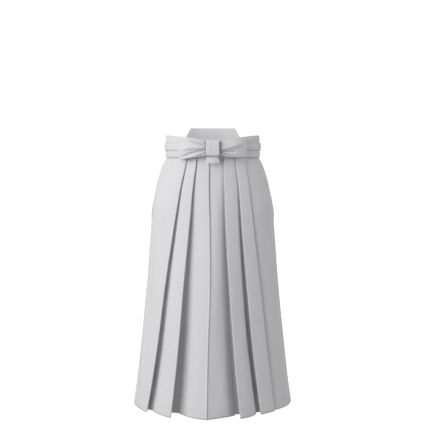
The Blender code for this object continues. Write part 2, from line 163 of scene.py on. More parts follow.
FOLD_DROPS = (-0.08, 0.0, 0.11, 0.22, 0.46, 0.70, 0.95)
GROOVE_REACH_TOP = 0.005
RIGHT_OUTER_LINE = (-0.0950, -0.0965, -0.1195, -0.1380, -0.1750, -0.2070, -0.2480)
RIGHT_OUTER_GROOVE = (0.0, 0.0005, 0.003, 0.006, 0.009, 0.010, 0.008)
RIGHT_OUTER = Fold(1, 0.010, 0.0044, 0.022, 0.009, 0.050, 0.05, 0.0, RIGHT_OUTER_LINE, RIGHT_OUTER_GROOVE, 0.02)
RIGHT_INNER_LINE = (-0.0580, -0.0595, -0.0734, -0.0832, -0.1063, -0.1268, -0.1535)
RIGHT_INNER_GROOVE = (0.0, 0.0010, 0.004, 0.007, 0.013, 0.016, 0.017)
RIGHT_INNER = Fold(1, 0.017, 0.0044, 0.046, 0.016, 0.068, 0.16, 0.04, RIGHT_INNER_LINE, RIGHT_INNER_GROOVE, 0.048)
CENTRE_LINE = (-0.0125, -0.0125, -0.0138, -0.0112, -0.0092, -0.0165, -0.0205)
CENTRE_GROOVE = (0.0, 0.0005, 0.002, 0.001, 0.000, 0.000, 0.000)
CENTRE = Fold(1, 0.009, 0.0046, 0.0040, 0.014, 0.040, 0.14, 0.45, CENTRE_LINE, CENTRE_GROOVE, 0.01, 0.0)
LEFT_INNER_LINE = (0.0395, 0.0405, 0.0445, 0.0478, 0.0615, 0.0780, 0.1020)
LEFT_INNER_GROOVE = (0.0, 0.0000, 0.002, 0.006, 0.014, 0.018, 0.017)
LEFT_INNER = Fold(-1, 0.004, 0.0044, 0.038, 0.016, 0.058, 0.14, 0.12, LEFT_INNER_LINE, LEFT_INNER_GROOVE, 0.012)
LEFT_OUTER_LINE = (0.0830, 0.0850, 0.0985, 0.1065, 0.1265, 0.1490, 0.1795)
LEFT_OUTER_GROOVE = (0.0, 0.0005, 0.003, 0.009, 0.022, 0.027, 0.022)
LEFT_OUTER = Fold(-1, -0.012, 0.0044, 0.010, 0.014, 0.036, 0.06, 0.06, LEFT_OUTER_LINE, LEFT_OUTER_GROOVE, 0.012)
LEFT_SIDE_LINE = (0.1190, 0.1200, 0.1355, 0.1480, 0.1757, 0.2025, 0.2330)
LEFT_SIDE_GROOVE = (0.0, 0.0000, 0.002, 0.005, 0.009, 0.009, 0.007)
LEFT_SIDE = Fold(1, -0.012, 0.0044, 0.007, 0.008, 0.016, 0.05, 0.05, LEFT_SIDE_LINE, LEFT_SIDE_GROOVE, 0.01)
BACK_LINE = (0.028, 0.030, 0.040, 0.048, 0.058, 0.066, 0.075)
BACK_GROOVE = (0.0, 0.0005, 0.002, 0.004, 0.010, 0.014, 0.016)
BACK = Fold(1, 0.0, 0.0044, 0.030, 0.018, 0.060, 0.06, 0.04, BACK_LINE, BACK_GROOVE, 0.02)
SIDE_CREASE_LINE = (-0.1105, -0.1125, -0.1515, -0.1680, -0.2025, -0.2320, -0.2640)
SIDE_CREASE_STEP = 0.0026
SIDE_CREASE_RUN = 0.0045

CREASES = (
    Crease(-63.0, 0.001, -57.0, 0.036, 1.5, -0.0012),
    Crease(-57.0, 0.000, -50.0, 0.030, 1.3, -0.0010),
    Crease(-52.0, 0.001, -44.0, 0.034, 1.3, -0.0011),
    Crease(-68.0, 0.002, -64.0, 0.050, 1.8, 0.0012),
    Crease(-38.0, 0.002, -34.0, 0.030, 1.2, -0.0007),
    Crease(47.0, 0.001, 41.0, 0.030, 1.4, -0.0009),
    Crease(60.0, 0.001, 55.0, 0.036, 1.5, -0.0009),
    Crease(-58.0, 0.004, -74.0, 0.110, 4.5, -0.0016),
    Crease(-66.0, 0.002, -84.0, 0.070, 3.6, 0.0012),
    Crease(-47.0, 0.006, -55.0, 0.085, 3.0, -0.0010),
    Crease(-78.0, 0.240, -72.0, 0.620, 7.0, -0.0028),
    Crease(-84.0, 0.520, -66.0, 0.930, 6.0, 0.0026),
    Crease(-60.0, 0.620, -58.0, 0.960, 4.0, -0.0018),
    Crease(-44.0, 0.360, -43.0, 0.800, 4.5, 0.0014),
    Crease(-20.0, 0.100, -19.0, 0.520, 6.0, -0.0016),
    Crease(-13.0, 0.560, -16.0, 0.960, 5.0, 0.0014),
    Crease(4.0, 0.120, 5.0, 0.560, 5.0, 0.0015),
    Crease(11.0, 0.480, 8.0, 0.800, 4.5, -0.0020),
    Crease(5.0, 0.660, 14.0, 0.930, 5.0, 0.0022),
    Crease(28.0, 0.180, 29.0, 0.640, 4.0, -0.0010),
    Crease(34.0, 0.600, 32.0, 0.960, 4.0, 0.0012),
    Crease(56.0, 0.004, 68.0, 0.085, 4.0, -0.0014),
    Crease(66.0, 0.003, 80.0, 0.100, 4.0, 0.0013),
    Crease(70.0, 0.220, 64.0, 0.600, 6.0, -0.0024),
    Crease(62.0, 0.480, 72.0, 0.900, 5.5, 0.0030),
    Crease(80.0, 0.560, 86.0, 0.960, 5.0, -0.0026),
    Crease(98.0, 0.300, 104.0, 0.800, 8.0, -0.0034),
    Crease(112.0, 0.160, 118.0, 0.720, 7.0, 0.0028),
    Crease(126.0, 0.060, 138.0, 0.300, 6.0, -0.0020),
    Crease(132.0, 0.480, 128.0, 0.960, 7.0, -0.0032),
    Crease(150.0, 0.200, 152.0, 0.700, 6.0, 0.0020),
    Crease(-102.0, 0.280, -98.0, 0.760, 8.0, -0.0030),
    Crease(-116.0, 0.120, -124.0, 0.640, 7.0, 0.0030),
    Crease(-130.0, 0.040, -142.0, 0.260, 6.0, -0.0022),
    Crease(-136.0, 0.520, -130.0, 0.960, 7.0, -0.0030),
    Crease(-154.0, 0.260, -150.0, 0.800, 6.0, 0.0022),
    Crease(172.0, 0.100, 174.0, 0.600, 6.0, -0.0018),
    Crease(-172.0, 0.160, -170.0, 0.700, 6.0, 0.0016),
)


def blend(start: Any, end: Any, share: float) -> Any:
    """Mix two numbers or points by a share of the second."""
    return start + (end - start) * share


def smooth(share: float) -> float:
    """Ease a share from 0 to 1."""
    share = min(max(share, 0.0), 1.0)
    return share * share * (3.0 - 2.0 * share)


def hump(distance: float) -> float:
    """Give a soft hump of height 1 that fades over one unit of distance."""
    return exp(-distance * distance)


def curve_through(stations: Sequence[float], values: Sequence[float], at: float) -> float:
    """Read a soft curve through values.

    Args:
        stations: where the values stand, in rising order.
        values: one value for each station.
        at: the place that is read.

    Returns:
        The value of the curve there.
    """
    slopes = np.gradient(np.array(values), np.array(stations))
    index = int(np.clip(np.searchsorted(stations, at) - 1, 0, len(stations) - 2))
    span = stations[index + 1] - stations[index]
    t = (at - stations[index]) / span
    start = values[index] * (1.0 + 2.0 * t) * (1.0 - t) ** 2
    end = values[index + 1] * t * t * (3.0 - 2.0 * t)
    lean = slopes[index] * t * (1.0 - t) ** 2 - slopes[index + 1] * t * t * (1.0 - t)
    return float(start + end + span * lean)


def straight_through(stations: Sequence[float], values: Sequence[float], at: float) -> float:
    """Read a straight-sided line through values at one place."""
    return float(np.interp(at, stations, values))


def section_at(drop: float) -> Section:
    """Work out the ring of cloth at any drop from the table of sections.

    Args:
        drop: how far below the tied bands the ring lies.

    Returns:
        The ring's sizes.
    """
    drops = [row.drop for row in SECTIONS]
    return Section(
        drop,
        curve_through(drops, [row.half_width for row in SECTIONS], drop),
        curve_through(drops, [row.front for row in SECTIONS], drop),
        curve_through(drops, [row.back for row in SECTIONS], drop),
        straight_through(drops, [row.open for row in SECTIONS], drop),
    )


def rotated(arm: Point, angle: float) -> Point:
    """Turn a plan vector by an angle."""
    return np.array((arm[0] * cos(angle) - arm[1] * sin(angle), arm[0] * sin(angle) + arm[1] * cos(angle)))


@dataclass
class Outline:
    """Half of one ring of cloth seen from above: an elliptic arc at the middle of the wall."""

    outer_half_width: float
    outer_depth: float
    side: Side = Side.FRONT

    def __post_init__(self) -> None:
        """Take half the wall off both sizes."""
        self.half_width = self.outer_half_width - CAD_WALL / 2
        self.depth = self.outer_depth - CAD_WALL / 2

    def point(self, angle: float, offset: float = 0.0) -> Point:
        """Give the point at an angle from the middle, moved outwards by an offset."""
        base = np.array((self.half_width * sin(angle), self.side.value * self.depth * cos(angle)))
        return base + self.outwards(angle) * offset

    def outwards(self, angle: float) -> Point:
        """Give the outward direction at an angle from the middle."""
        normal = np.array((self.depth * sin(angle), self.side.value * self.half_width * cos(angle)))
        return normal / np.linalg.norm(normal)

    def angle_of(self, point: Point) -> float:
        """Give the angle whose ray passes through a point."""
        return float(np.arctan2(point[0] / self.half_width, self.side.value * point[1] / self.depth))

    def angle_at(self, across: float) -> float:
        """Give the angle at which the arc has this X."""
        return float(np.arcsin(np.clip(across / self.half_width, -1.0, 1.0)))

    def follow(self, start: Point, end: Point, count: int) -> list[tuple[Point, float]]:
        """List points between two places, keeping to the arc's own roundness.

        Args:
            start: where the run begins.
            end: where the run ends.
            count: how many points to put between them, closer together near both ends.

        Returns:
            The points between, without the two ends, each with its share of the run.
        """
        first, last = self.angle_of(start), self.angle_of(end)
        from_start, from_end = start - self.point(first), end - self.point(last)
        steps = [step / (count + 1) for step in range(1, count + 1)]
        shares = [blend(step, smooth(step), 0.6) for step in steps]
        return [
            (self.point(blend(first, last, share)) + blend(from_start, from_end, share), share)
            for share in shares
        ]


@dataclass
class ClothLine:
    """The middle line of a folded cloth in one ring: it runs past places and round turns."""

    outline: Outline
    turn_steps: int = 6
    marks: list[tuple[Point, float]] = field(default_factory=list)
    surface: Point = field(default_factory=lambda: np.zeros(2))
    groove: Point = field(default_factory=lambda: np.zeros(2))
    groove_reach: float = GROOVE_REACH_TOP

    def add(self, point: Point) -> None:
        """Add one place."""
        self.marks.append((np.array(point), 0.0))
        self.surface = np.array(point)
        self.groove = np.zeros(2)

    def turn(self, centre: Point, radius: float, surface: Point) -> None:
        """Add a turn round a middle: a radius above 0 turns right, below 0 left."""
        self.marks.append((centre, radius))
        self.surface = surface
        self.groove = np.zeros(2)

    def follow_arc(self, point: Point, count: int, pleat: "Pleat | None" = None) -> None:
        """Run along the arc towards a place without adding the place itself.

        Args:
            point: the place.
            count: how many points to put before it.
            pleat: the pleat whose groove the cloth sinks into there, if it does.
        """
        span = hypot(*(np.array(point) - self.surface))
        for between, share in self.outline.follow(self.surface, np.array(point), count):
            sunk = self.groove * exp(-share * span / self.groove_reach)
            if pleat:
                sunk = sunk + pleat.groove * exp(-(1.0 - share) * span / pleat.groove_reach)
            self.marks.append((between + sunk, 0.0))

    def reach(self, point: Point, count: int) -> None:
        """Run along the arc to a place."""
        self.follow_arc(point, count)
        self.add(point)

    def leave_groove(self, pleat: "Pleat") -> None:
        """Come out of a pleat's groove: add the sunk place and go on from the surface above it."""
        self.add(pleat.emerging() + pleat.groove)
        self.surface = pleat.emerging()
        self.groove = pleat.groove
        self.groove_reach = pleat.groove_reach

    def points(self) -> list[Point]:
        """List the points of the line, with each turn drawn as an arc and straight runs divided."""
        links = [self.tangent(first, last) for first, last in zip(self.marks, self.marks[1:])]
        line = [self.marks[0][0]]
        for index, (place, radius) in enumerate(self.marks[1:-1]):
            if radius:
                line.extend(self.arc(place, radius, links[index][1], links[index + 1][0]))
            else:
                line.append(place)
            if radius and self.marks[index + 2][1]:
                leave, meet = links[index + 1]
                line.extend(blend(leave, meet, step / 4) for step in range(1, 4))
        line.append(self.marks[-1][0])
        return line

    @staticmethod
    def tangent(first: tuple[Point, float], last: tuple[Point, float]) -> tuple[Point, Point]:
        """Give both ends of the straight run that leaves one turn and meets the next."""
        (start, start_radius), (end, end_radius) = first, last
        span = end - start
        length = hypot(*span)
        ahead = span / length
        left = np.array((-ahead[1], ahead[0]))
        lean = (start_radius - end_radius) / length
        normal = ahead * lean + left * sqrt(1.0 - lean * lean)
        return start + normal * start_radius, end + normal * end_radius

    def arc(self, centre: Point, radius: float, first: Point, last: Point) -> list[Point]:
        """List points round a turn from where the cloth meets it to where it leaves."""
        arm, leaving = first - centre, last - centre
        angle = atan2(arm[0] * leaving[1] - arm[1] * leaving[0], float(arm @ leaving))
        if radius > 0.0 and angle > 0.0:
            angle -= 2.0 * pi
        if radius < 0.0 and angle < 0.0:
            angle += 2.0 * pi
        steps = self.turn_steps
        return [centre + rotated(arm, angle * step / steps) for step in range(steps + 1)]


class Pleat:
    """One turned pleat in one ring: its edge, the tuck behind it and the cloth beneath."""

    def __init__(self, fold: Fold, section: Section, outline: Outline) -> None:
        """Work out the pleat's sizes in this ring."""
        angle = outline.angle_at(curve_through(FOLD_DROPS, fold.line, section.drop))
        self.faces = fold.faces
        self.outwards = outline.outwards(angle)
        self.along = rotated(self.outwards, pi / 2)
        lift = np.array((0.0, outline.side.value * fold.lift * section.open))
        self.edge = outline.point(angle) + lift
        self.radius = (LAYER + fold.opening * section.open) / 2
        self.step = blend(fold.step_top, fold.step_hem, section.open)
        self.tuck = blend(fold.tuck_top, fold.tuck_hem, section.open)
        self.far = self.step + self.tuck * blend(fold.fall_top, fold.fall_hem, section.open)
        self.groove = -self.outwards * curve_through(FOLD_DROPS, fold.groove, section.drop)
        self.groove_reach = blend(GROOVE_REACH_TOP, fold.groove_reach, smooth(section.open * 1.6))

    def place(self, run: float, depth: float) -> Point:
        """Give a place beside the edge: run back under the pleat, depth inwards."""
        return self.edge - self.along * self.faces * run - self.outwards * depth

    def crest(self) -> Point:
        """Give the place where the cloth starts to turn at the edge."""
        return self.place(self.radius, 0.0)

    def turn_edge(self, line: ClothLine) -> None:
        """Add the turned edge to a line."""
        line.turn(self.place(self.radius, self.radius), -self.radius, self.crest())

    def turn_tuck(self, line: ClothLine) -> None:
        """Add the turn at the end of the tuck to a line."""
        centre = self.place(self.tuck, self.far - self.radius)
        line.turn(centre, self.radius, self.place(self.tuck, self.far))

    def emerging(self) -> Point:
        """Give the place where the cloth beneath comes out past the edge."""
        return self.place(-0.003, self.step)

    def hidden_edge(self) -> Point:
        """Give the place where the right front ends, turned under the centre edge."""
        return self.place(self.tuck, self.far - 2.0 * self.radius)

    def hidden_start(self) -> Point:
        """Give the place where the left front starts, beneath the right front."""
        return self.place(self.tuck * 0.78, self.far)


class Graph:
    """A material's nodes, with one method that makes any of them."""

    def __init__(self, material: bpy.types.Material) -> None:
        """Start from a material with its nodes on."""
        material.use_nodes = True
        self.tree = material.node_tree
        self.surface = self.tree.nodes["Principled BSDF"]

    def node(self, kind: str, settings: dict[str, Any], **sockets: Any) -> bpy.types.Node:
        """Make one node.

        Args:
            kind: the node's type.
            settings: the node's own settings, which are set first.
            sockets: values or links for its inputs, by name or by "at" and a number.

        Returns:
            The new node.
        """
        made = self.tree.nodes.new(kind)
        for name, value in settings.items():
            setattr(made, name, value)
        for name, value in sockets.items():
            key: Any = int(name[2:]) if name.startswith("at") else name.replace("_", " ")
            self.feed(made.inputs[key], value)
        return made

    def feed(self, socket: bpy.types.NodeSocket, value: Any) -> None:
        """Give an input a value, or link it to a signal."""
        if isinstance(value, Signal):
            self.tree.links.new(value.socket, socket)
        elif isinstance(value, bpy.types.NodeSocket):
            self.tree.links.new(value, socket)
        else:
            socket.default_value = value


class Signal:
    """A number that changes over a surface, for sums written as plain expressions."""

    def __init__(self, graph: Graph, socket: bpy.types.NodeSocket) -> None:
        """Wrap one output."""
        self.graph = graph
        self.socket = socket

    def math(self, operation: str, *values: Any) -> "Signal":
        """Add one Math node.

        Args:
            operation: what the node works out.
            values: its numbers or signals, in order.

        Returns:
            The node's result.
        """
        inputs = {f"at{index}": value for index, value in enumerate(values)}
        made = self.graph.node("ShaderNodeMath", {"operation": operation}, **inputs)
        return Signal(self.graph, made.outputs[0])

    def __add__(self, other: Any) -> "Signal":
        """Add a number or signal."""
        return self.math("ADD", self, other)

    __radd__ = __add__

    def __sub__(self, other: Any) -> "Signal":
        """Take a number or signal away."""
        return self.math("SUBTRACT", self, other)

    def __rsub__(self, other: Any) -> "Signal":
        """Take this away from a number."""
        return self.math("SUBTRACT", other, self)

    def __mul__(self, other: Any) -> "Signal":
        """Multiply by a number or signal."""
        return self.math("MULTIPLY", self, other)

    __rmul__ = __mul__

    def __truediv__(self, other: Any) -> "Signal":
        """Divide by a number or signal."""
        return self.math("DIVIDE", self, other)

    def __lt__(self, other: Any) -> "Signal":
        """Give 1 where this is less."""
        return self.math("LESS_THAN", self, other)

    def sine(self) -> "Signal":
        """Give the sine."""
        return self.math("SINE", self)

    def size(self) -> "Signal":
        """Give the number without its sign."""
        return self.math("ABSOLUTE", self)

    def part(self) -> "Signal":
        """Give what is left after the whole number."""
        return self.math("FRACT", self)


@dataclass(frozen=True)
class ClothFinish:
    """Pale plain-woven cloth: its colour, thread, slubs and rows of stitching."""

    name: str
    colour: tuple[float, float, float] = (0.700, 0.700, 0.714)
    roughness: float = 0.86
    thread: float = 0.0011
    thread_depth: float = 0.00006
    rumple: float = 0.0011
    mottle: float = 0.030
    slub: float = 0.016
    stitch_rows: tuple[float, ...] = ()
    stitch_pitch: float = 0.0042

    def material(self) -> bpy.types.Material:
        """Make the cloth's material; its pattern follows the piece's own UV map, in metres of cloth."""
        made = bpy.data.materials.new(self.name)
        graph = Graph(made)
        cloth = graph.node("ShaderNodeUVMap", {"uv_map": "cloth"})
        parts = graph.node("ShaderNodeSeparateXYZ", {}, Vector=cloth.outputs["UV"])
        across, down = Signal(graph, parts.outputs["X"]), Signal(graph, parts.outputs["Y"])
        weave = self.weave(across, down)
        slubs = self.noise(graph, cloth, (260.0, 16.0), 2.0)
        blotches = self.noise(graph, cloth, (9.0, 5.0), 3.0)
        rumples = self.noise(graph, cloth, (42.0, 26.0), 3.0)
        stitches = self.stitches(across, down)
        tone = 1.0 + (slubs - 0.5) * (2.0 * self.slub) + (blotches - 0.5) * (2.0 * self.mottle) + weave * 0.010
        tone = tone - stitches * 0.16
        colour = graph.node(
            "ShaderNodeMix",
            {"data_type": "RGBA", "blend_type": "MULTIPLY"},
            at0=1.0,
            at6=(*self.colour, 1.0),
            at7=self.grey(graph, tone),
        )
        height = weave * self.thread_depth + (rumples - 0.5) * self.rumple + (slubs - 0.5) * 0.00005
        height = height - stitches * 0.00025
        bump = graph.node("ShaderNodeBump", {}, Strength=0.8, Distance=1.0, Height=height)
        graph.feed(graph.surface.inputs["Base Color"], colour.outputs[2])
        graph.feed(graph.surface.inputs["Normal"], bump.outputs["Normal"])
        graph.surface.inputs["Roughness"].default_value = self.roughness
        graph.surface.inputs["Specular IOR Level"].default_value = 0.25
        graph.surface.inputs["Sheen Weight"].default_value = 0.12
        graph.surface.inputs["Sheen Roughness"].default_value = 0.55
        return made

    def weave(self, across: Signal, down: Signal) -> Signal:
        """Give the over-and-under of the threads, from -1 to 1."""
        turns = 2.0 * pi / self.thread
        return (across * turns).sine() * (down * turns).sine()

    def stitches(self, across: Signal, down: Signal) -> Signal:
        """Give 1 on each short stitch of the rows, and 0 elsewhere."""
        dash = (across / self.stitch_pitch).part() < 0.62
        total = dash * 0.0
        for row in self.stitch_rows:
            total = total + ((down - row).size() < 0.0007) * dash
        return total

    @staticmethod
    def noise(graph: Graph, cloth: bpy.types.Node, stretch: tuple[float, float], detail: float) -> Signal:
        """Give a soft noise on the cloth, with its own scale across and down."""
        moved = graph.node("ShaderNodeMapping", {}, Vector=cloth.outputs["UV"], Scale=(*stretch, 1.0))
        made = graph.node(
            "ShaderNodeTexNoise", {"noise_dimensions": "2D"}, Vector=moved.outputs[0], Scale=1.0, Detail=detail
        )
        return Signal(graph, made.outputs[0])

    @staticmethod
    def grey(graph: Graph, tone: Signal) -> bpy.types.NodeSocket:
        """Turn a number into a grey colour."""
        made = graph.node("ShaderNodeCombineColor", {}, Red=tone, Green=tone, Blue=tone)
        return made.outputs[0]


@dataclass(frozen=True)
class StageFinish:
    """Plain pale studio ground."""

    name: str = "studio_ground"
    colour: tuple[float, float, float] = (0.32, 0.32, 0.32)
    glow: float = 0.94

    def material(self) -> bpy.types.Material:
        """Make the ground's material."""
        made = bpy.data.materials.new(self.name)
        graph = Graph(made)
        surface = graph.surface.inputs
        surface["Base Color"].default_value = (*self.colour, 1.0)
        surface["Roughness"].default_value = 0.95
        surface["Specular IOR Level"].default_value = 0.0
        surface["Emission Color"].default_value = (1.0, 1.0, 1.0, 1.0)
        surface["Emission Strength"].default_value = self.glow
        return made


@dataclass
class Sheet:
    """A sheet of cloth laid through rows of places, with its thickness and its cut."""

    name: str
    rows: list[list[Place]]
    downs: list[list[float]]
    closed: bool = False
    thickness: float = WALL

    def build(self, finish: ClothFinish) -> bpy.types.Object:
        """Lay the sheet and dress it.

        Args:
            finish: the cloth's finish.

        Returns:
            The finished piece, in the scene.
        """
        places = [row + row[:1] for row in self.rows] if self.closed else self.rows
        downs = [row + row[:1] for row in self.downs] if self.closed else self.downs
        columns, count = len(places[0]), len(places)
        mesh = bmesh.new()
        uv = mesh.loops.layers.uv.new("cloth")
        bmesh.ops.create_grid(mesh, x_segments=columns - 1, y_segments=count - 1, size=0.5)
        across = self.lengths(places)
        index: dict[bmesh.types.BMVert, tuple[int, int]] = {}
        for vert in mesh.verts:
            column, row = round((vert.co.x + 0.5) * (columns - 1)), round((vert.co.y + 0.5) * (count - 1))
            index[vert] = (row, column)
        for face in mesh.faces:
            for loop in face.loops:
                row, column = index[loop.vert]
                loop[uv].uv = (across[row][column], downs[row][column])
        for vert, (row, column) in index.items():
            vert.co = places[row][column]
        if self.closed:
            bmesh.ops.remove_doubles(mesh, verts=mesh.verts, dist=0.00001)
        self.face_outwards(mesh)
        for face in mesh.faces:
            face.smooth = True
        return self.finished(mesh, finish)

    @staticmethod
    def lengths(places: list[list[Place]]) -> list[list[float]]:
        """Measure each row along the cloth, from its middle."""
        measured = []
        for row in places:
            steps = np.linalg.norm(np.diff(np.array(row), axis=0), axis=1)
            run = np.concatenate(((0.0,), np.cumsum(steps)))
            measured.append(list(run - run[-1] / 2))
        return measured

    @staticmethod
    def face_outwards(mesh: bmesh.types.BMesh) -> None:
        """Turn the sheet so that most of it faces away from the waist's middle line."""
        mesh.normal_update()
        total = 0.0
        for face in mesh.faces:
            centre = face.calc_center_median()
            total += (centre.x * face.normal.x + centre.y * face.normal.y) * face.calc_area()
        if total < 0.0:
            bmesh.ops.reverse_faces(mesh, faces=mesh.faces)

    def finished(self, mesh: bmesh.types.BMesh, finish: ClothFinish) -> bpy.types.Object:
        """Turn the working mesh into a piece with its wall and material."""
        data = bpy.data.meshes.new(self.name)
        mesh.to_mesh(data)
        mesh.free()
        piece = bpy.data.objects.new(self.name, data)
        bpy.context.scene.collection.objects.link(piece)
        wall = piece.modifiers.new("wall", "SOLIDIFY")
        wall.thickness = self.thickness
        wall.offset = 0.0
        data.materials.append(finish.material())
        return piece


def seat(piece: bpy.types.Object, nodes: Sequence[str], flat: tuple[float, float], held: str, **more: Any) -> None:
    """Let a cloth piece stand for its solids: attach it to the root and hide the solids it replaces.

    Args:
        piece: the cloth piece.
        nodes: the solids it replaces.
        flat: the width and length it was cut to; not used.
        held: how the cloth is held; not used.
        more: the area of the cut or what it rests on; not used.
    """
    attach(piece, "root")
    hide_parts(*nodes)
    LOG.info("%s: %d faces", piece.name, len(piece.data.polygons))


@dataclass
class PleatedPanels:
    """The front and back panels, with their pleats, soft creases and hems."""

    rows_above: int = 4
    rows_flare: int = 9
    rows_hip: int = 14
    rows_body: int = 34
    rows_hem: int = 6
    fine: int = 16

    def drops(self) -> list[float]:
        """List the drops of the rings, close together at the waist and the hem."""
        parts = (
            np.linspace(-0.0612, -0.001, self.rows_above),
            np.linspace(0.003, 0.050, self.rows_flare),
            np.linspace(0.062, 0.250, self.rows_hip),
            np.linspace(0.268, 0.890, self.rows_body),
            (HEM_FOLD_DROP - 0.001, HEM_FOLD_DROP + 0.001),
            np.linspace(HEM_LINE_DROP, HEM_DROP, self.rows_hem),
        )
        return [float(drop) for part in parts for drop in part]

    def front_right(self, section: Section) -> list[Point]:
        """Trace the right front: side, outer pleat, inner pleat and the turned centre edge."""
        outline = Outline(section.half_width, section.front)
        line = ClothLine(outline)
        crease_angle = outline.angle_at(curve_through(FOLD_DROPS, SIDE_CREASE_LINE, section.drop))
        run = SIDE_CREASE_RUN / section.half_width
        lift = np.array((0.0, -RIGHT_OUTER.lift * section.open))
        line.add(outline.point(-self.front_edge_angle(section)))
        line.reach(outline.point(crease_angle - run, -SIDE_CREASE_STEP) + lift * 0.7, self.fine * 2)
        line.reach(outline.point(crease_angle, -SIDE_CREASE_STEP * 0.3) + lift * 0.8, 1)
        outer, inner = Pleat(RIGHT_OUTER, section, outline), Pleat(RIGHT_INNER, section, outline)
        centre = Pleat(CENTRE, section, outline)
        self.add_open_pleat(line, outer, 6)
        self.add_open_pleat(line, inner, self.fine)
        line.follow_arc(centre.crest(), self.fine + 2)
        centre.turn_edge(line)
        line.add(centre.hidden_edge())
        return line.points()

    def front_left(self, section: Section) -> list[Point]:
        """Trace the left front: from under the centre edge over its pleats to the side."""
        outline = Outline(section.half_width, section.front)
        line = ClothLine(outline)
        centre = Pleat(CENTRE, section, outline)
        line.add(centre.hidden_start())
        line.leave_groove(centre)
        self.add_facing_pleat(line, Pleat(LEFT_INNER, section, outline), self.fine + 2)
        self.add_facing_pleat(line, Pleat(LEFT_OUTER, section, outline), self.fine)
        self.add_open_pleat(line, Pleat(LEFT_SIDE, section, outline), self.fine - 2)
        line.reach(outline.point(self.front_edge_angle(section)), self.fine * 2)
        return line.points()

    def back_left(self, section: Section) -> list[Point]:
        """Trace the left back from its side edge to the middle seam."""
        outline = Outline(section.half_width, section.back, Side.BACK)
        line = ClothLine(outline)
        flare = 0.0045 * smooth(1.0 - abs(section.drop - 0.185) / 0.075)
        pleat = Pleat(BACK, section, outline)
        line.add(outline.point(self.back_edge_angle(section), flare))
        self.add_open_pleat(line, pleat, self.fine * 2)
        line.reach(outline.point(0.0, -pleat.step) + (SEAM / 2, 0.0), self.fine - 3)
        return line.points()

    def back_right(self, section: Section) -> list[Point]:
        """Trace the right back, the pair of the left."""
        return [point * (-1.0, 1.0) for point in self.back_left(section)]

    @staticmethod
    def add_open_pleat(line: ClothLine, pleat: Pleat, count: int) -> None:
        """Run to an edge that looks along the line, turn under it and come out beneath."""
        line.follow_arc(pleat.crest(), count)
        pleat.turn_edge(line)
        pleat.turn_tuck(line)
        line.leave_groove(pleat)

    @staticmethod
    def add_facing_pleat(line: ClothLine, pleat: Pleat, count: int) -> None:
        """Run beneath an edge that looks back along the line, turn and come out over it."""
        line.follow_arc(pleat.emerging(), count, pleat)
        line.add(pleat.emerging() + pleat.groove)
        pleat.turn_tuck(line)
        pleat.turn_edge(line)

    @staticmethod
    def front_edge_angle(section: Section) -> float:
        """Give the angle of the front's side edge, which leans forward above the side opening's foot."""
        lean = 0.12 * (1.0 - smooth(section.drop / SLIT_FOOT))
        return pi / 2 - lean - 0.5 * SEAM / section.front

    @staticmethod
    def back_edge_angle(section: Section) -> float:
        """Give the angle of the back's side edge, which runs from the seam to the back board."""
        lean = 0.62 * (1.0 - min(max(section.drop / SLIT_FOOT, 0.0), 1.0)) ** 0.9
        return pi / 2 - lean - 0.5 * SEAM / section.front

    @staticmethod
    def creased(place: Point, drop: float) -> Place:
        """Move a place of the cloth for the soft creases and the doubled hem.

        Args:
            place: the place in plan.
            drop: its drop.

        Returns:
            The moved place in space.
        """
        around = degrees(atan2(place[0], -place[1]))
        push = 0.0
        for crease in CREASES:
            share = (drop - crease.start_drop) / (crease.end_drop - crease.start_drop)
            if -0.1 < share < 1.1:
                fade = smooth((share + 0.1) / 0.3) * smooth((1.1 - share) / 0.3)
                aside = around - blend(crease.start_angle, crease.end_angle, share)
                aside = (aside + 180.0) % 360.0 - 180.0
                push += crease.depth * fade * hump(aside / crease.width)
        if abs(abs(around) - 90.0) < 12.0:
            push *= smooth((drop - SLIT_FOOT) / 0.05)
        if drop > HEM_FOLD_DROP:
            push += HEM_DOUBLE
        reach = hypot(*place)
        sway = 1.0 + push / reach
        lift = 0.0011 * sin(radians(around) * 7.0 + 0.6) * smooth((drop - 0.90) / 0.05)
        return (place[0] * sway, place[1] * sway, BAND_FOOT - drop + lift)

    def sheet(self, name: str, trace: Callable[[Section], list[Point]], drops: Sequence[float]) -> Sheet:
        """Lay one panel through its rings.

        Args:
            name: the piece's name.
            trace: gives the panel's line in one ring.
            drops: the drops of the rings.

        Returns:
            The panel as a sheet.
        """
        rows, downs = [], []
        for drop in drops:
            line = trace(section_at(drop))
            rows.append([self.creased(place, drop) for place in line])
            downs.append([drop] * len(line))
        return Sheet(name, rows, downs)

    def build(self, finish: ClothFinish) -> None:
        drops = self.drops()
        low_drops = [drop for drop in drops if drop > -0.039]
        front_right = self.sheet("front_right_cloth", self.front_right, drops).build(finish)
        seat(front_right, ["front_right_panel"], (0.62, 1.02), "hung", area=0.50)
        front_left = self.sheet("front_left_cloth", self.front_left, drops).build(finish)
        seat(front_left, ["front_left_panel"], (0.66, 1.02), "hung", area=0.53)
        back_right = self.sheet("back_right_cloth", self.back_right, low_drops).build(finish)
        seat(back_right, ["back_right_panel"], (0.56, 1.00), "hung", area=0.40)
        back_left = self.sheet("back_left_cloth", self.back_left, low_drops).build(finish)
        seat(back_left, ["back_left_panel"], (0.56, 1.00), "hung", area=0.40)


